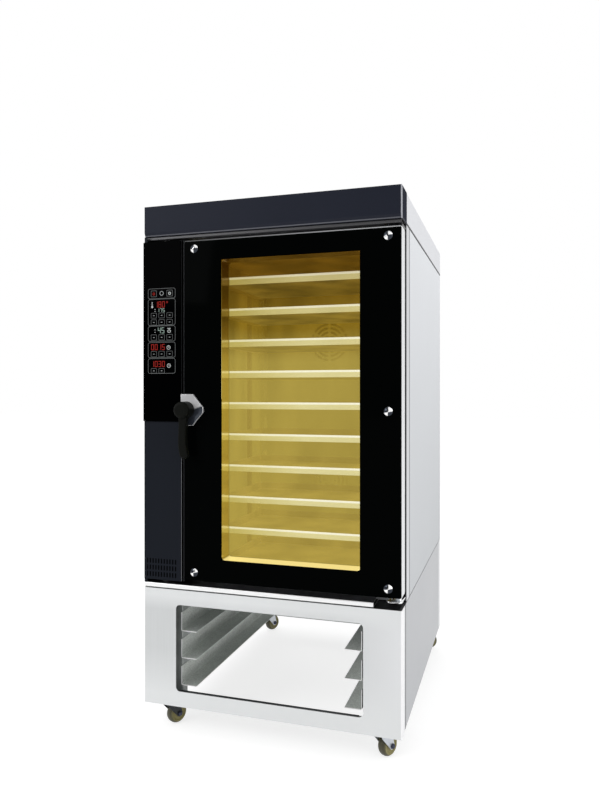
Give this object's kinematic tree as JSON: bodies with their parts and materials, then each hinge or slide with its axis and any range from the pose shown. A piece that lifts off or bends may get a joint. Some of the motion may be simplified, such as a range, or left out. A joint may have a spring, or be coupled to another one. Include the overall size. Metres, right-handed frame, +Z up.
{
  "type": "convection oven",
  "caption": "Electric convection oven on a wheeled stand: side-hinged glass door with lever latch, touch control column, trays on racks, twin rear fans, hood and open tray stand.",
  "frame": {"origin": "on the floor, midway between the sides and midway from the handle's front to the flue stub's end", "axes": "+Z up, +X to the right as seen from the front, +Y to the back"},
  "size_m": [0.94, 1.265, 1.897],
  "materials": {
    "stainless": "fine vertical brushing",
    "navy_paint": "satin powder coat",
    "touch_glass": "back-printed black glass",
    "door_glass": "clear tempered glass",
    "black_enamel": "gloss black",
    "chrome": "polished",
    "black_plastic": "moulded, slight sheen",
    "galvanised": "dull zinc-coated sheet",
    "chamber_steel": "stainless in warm lamp light",
    "tray_aluminium": "satin",
    "silicone": "matt",
    "mineral_wool": "fibrous slab",
    "zinc": "bright zinc plate",
    "caster_tread": "hard polyurethane",
    "brass": "turned",
    "motor_paint": "grey enamel",
    "heater_steel": "heat-tinted",
    "pale_plastic": "moulded",
    "circuit_board": "solder mask",
    "lamp_glass": "ribbed lamp glass",
    "trim_aluminium": "satin"
  },
  "bodies": {
    "cabinet": {"air_baffle": "chamber_steel", "baking_trays": "tray_aluminium", "base_rail": "stainless", "cabinet_pan": "galvanised", "cable_gland": "pale_plastic", "caster_channels": "galvanised", "caster_top_plates": "zinc", "chamber_back_wall": "chamber_steel", "chamber_liner": "chamber_steel", "column_trim": "trim_aluminium", "control_glass": "touch_glass", "control_tray": "galvanised", "display_board": "circuit_board", "fan_motors": "motor_paint", "flue_stub": "stainless", "front_frame": "stainless", "hinge_brackets": "chrome", "hood_fascia": "navy_paint", "insulation": "mineral_wool", "lamp_housings": "zinc", "lamp_lenses": "lamp_glass", "latch_keeper": "zinc", "left_corner": "navy_paint", "lower_cover": "navy_paint", "motor_bulkhead": "galvanised", "rack_posts": "chamber_steel", "rack_runners": "chamber_steel", "rear_cover": "stainless", "ring_heaters": "heater_steel", "runner_posts": "galvanised", "side_panels": "stainless", "stand_deck": "galvanised", "stand_end_panels": "stainless", "stand_runners": "galvanised", "stand_sides": "stainless", "switchgear": "pale_plastic", "top_cover": "stainless", "under_hood_lip": "trim_aluminium", "water_inlet": "brass"},
    "door": {"door_outer_glass": "door_glass", "door_front_sheet": "black_enamel", "door_frame": "stainless", "door_inner_panel": "stainless", "door_inner_glass": "door_glass", "door_gasket": "silicone", "glass_caps": "chrome", "hinge_bushes": "brass", "latch_plate": "chrome"},
    "handle": {"handle_lever": "black_plastic", "handle_spindle": "zinc"},
    "fan_lower": {"fan_wheel_lower": "zinc"},
    "fan_upper": {"fan_wheel_upper": "zinc"},
    "fork_front_left": {"caster_fork_front_left": "zinc"},
    "wheel_front_left": {"caster_wheel_front_left": "caster_tread"},
    "fork_front_right": {"caster_fork_front_right": "zinc"},
    "wheel_front_right": {"caster_wheel_front_right": "caster_tread"},
    "fork_rear_left": {"caster_fork_rear_left": "zinc"},
    "wheel_rear_left": {"caster_wheel_rear_left": "caster_tread"},
    "fork_rear_right": {"caster_fork_rear_right": "zinc"},
    "wheel_rear_right": {"caster_wheel_rear_right": "caster_tread"}
  },
  "joints": [
    {"name": "door_swing", "type": "hinge", "parent": "cabinet", "child": "door", "pos_m": [0.45, -0.5345, 1.159], "axis": [0, 0, 1], "range_deg": [0, 180]},
    {"name": "handle_turn", "type": "hinge", "parent": "door", "child": "handle", "pos_m": [-0.295, -0.5725, 1.161], "axis": [0, -1, 0], "range_deg": [0, 90]},
    {"name": "fan_lower_spin", "type": "hinge", "parent": "cabinet", "child": "fan_lower", "pos_m": [0.082, 0.029, 0.862], "axis": [0, 1, 0], "continuous": true},
    {"name": "fan_upper_spin", "type": "hinge", "parent": "cabinet", "child": "fan_upper", "pos_m": [0.082, 0.029, 1.432], "axis": [0, 1, 0], "continuous": true},
    {"name": "swivel_front_left", "type": "hinge", "parent": "cabinet", "child": "fork_front_left", "pos_m": [-0.395, -0.515, 0.103], "axis": [0, 0, 1], "continuous": true},
    {"name": "roll_front_left", "type": "hinge", "parent": "fork_front_left", "child": "wheel_front_left", "pos_m": [-0.38203, -0.49019, 0.0375], "axis": [-0.8862, 0.4633, 0], "continuous": true},
    {"name": "swivel_front_right", "type": "hinge", "parent": "cabinet", "child": "fork_front_right", "pos_m": [0.395, -0.515, 0.103], "axis": [0, 0, 1], "continuous": true},
    {"name": "roll_front_right", "type": "hinge", "parent": "fork_front_right", "child": "wheel_front_right", "pos_m": [0.40797, -0.49019, 0.0375], "axis": [-0.8862, 0.4633, 0], "continuous": true},
    {"name": "swivel_rear_left", "type": "hinge", "parent": "cabinet", "child": "fork_rear_left", "pos_m": [-0.395, 0.535, 0.103], "axis": [0, 0, 1], "continuous": true},
    {"name": "roll_rear_left", "type": "hinge", "parent": "fork_rear_left", "child": "wheel_rear_left", "pos_m": [-0.38203, 0.55981, 0.0375], "axis": [-0.8862, 0.4633, 0], "continuous": true},
    {"name": "swivel_rear_right", "type": "hinge", "parent": "cabinet", "child": "fork_rear_right", "pos_m": [0.395, 0.535, 0.103], "axis": [0, 0, 1], "continuous": true},
    {"name": "roll_rear_right", "type": "hinge", "parent": "fork_rear_right", "child": "wheel_rear_right", "pos_m": [0.42239, 0.54082, 0.0375], "axis": [-0.2079, 0.9781, 0], "continuous": true}
  ]
}
